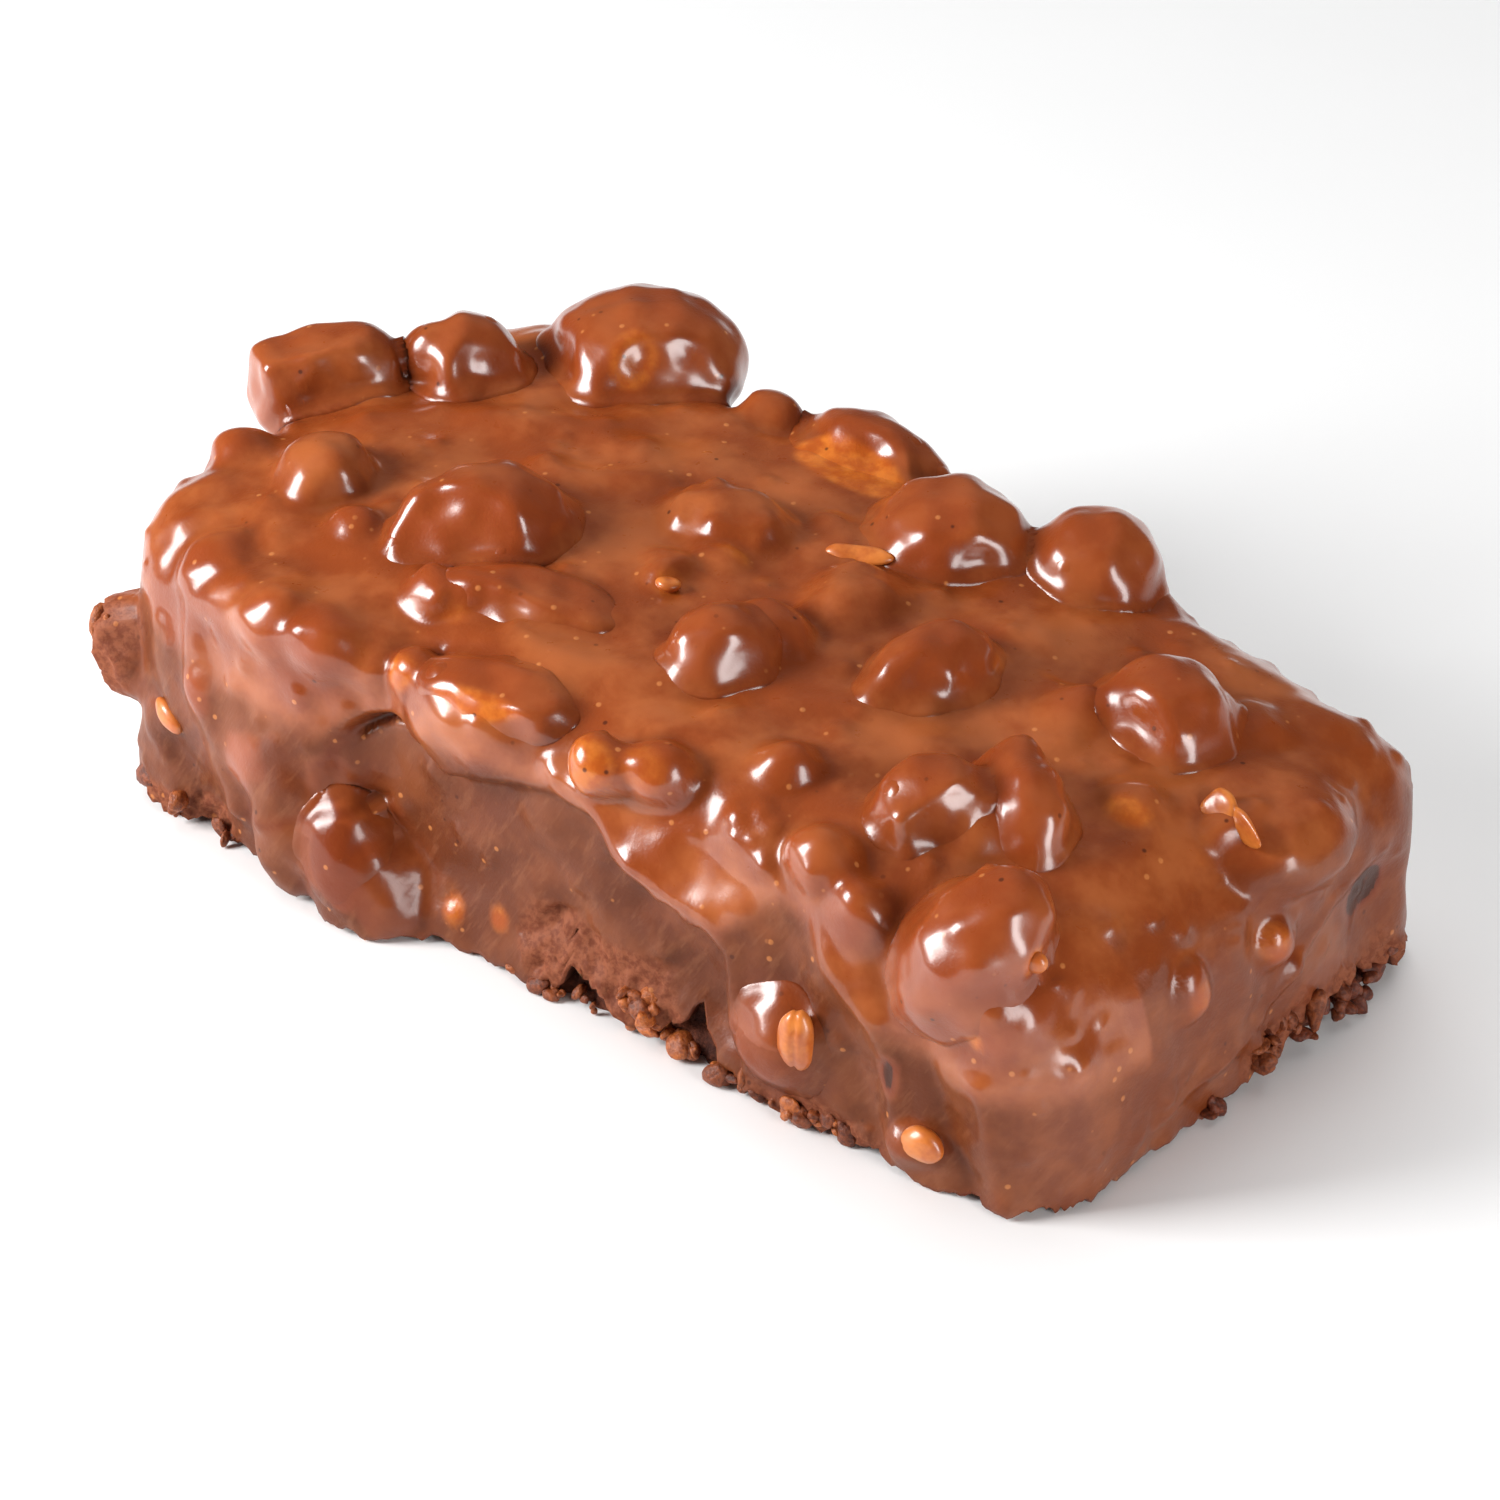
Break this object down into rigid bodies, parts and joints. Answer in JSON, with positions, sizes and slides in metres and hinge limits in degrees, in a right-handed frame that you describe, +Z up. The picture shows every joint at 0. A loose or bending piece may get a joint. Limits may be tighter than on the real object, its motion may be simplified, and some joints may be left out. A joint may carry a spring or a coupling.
{
  "type": "chocolate-coated hazelnut brownie",
  "caption": "Long baked brownie bar dipped in milk chocolate, with whole and broken hazelnuts standing out of the coat, resting on its flat base.",
  "frame": {"origin": "centre of the bounding box on the resting plane, z = 0 at the flat base", "axes": "+X along the bar towards its lower end, +Y towards the far side, +Z up"},
  "size_m": [0.1292, 0.0724, 0.0414],
  "materials": {
    "crumb": null,
    "milk_chocolate": "poured milk chocolate, glossy on top and satin on the sides, with fine grain and specks",
    "coated_nut": "hazelnut under a thin glossy film of milk chocolate, more orange than the thick coat"
  },
  "bodies": {
    "root": {"brownie": "crumb", "coating": "milk_chocolate", "hazelnut_01": "coated_nut", "hazelnut_02": "coated_nut", "hazelnut_03": "coated_nut", "hazelnut_04": "coated_nut", "hazelnut_05": "coated_nut", "hazelnut_06": "coated_nut", "hazelnut_07": "coated_nut", "hazelnut_08": "coated_nut", "hazelnut_09": "coated_nut", "hazelnut_10": "coated_nut", "hazelnut_11": "coated_nut", "hazelnut_12": "coated_nut", "hazelnut_13": "coated_nut", "hazelnut_14": "coated_nut", "hazelnut_15": "coated_nut", "hazelnut_16": "coated_nut", "hazelnut_17": "coated_nut", "hazelnut_18": "coated_nut", "hazelnut_19": "coated_nut", "hazelnut_20": "coated_nut"}
  },
  "joints": []
}
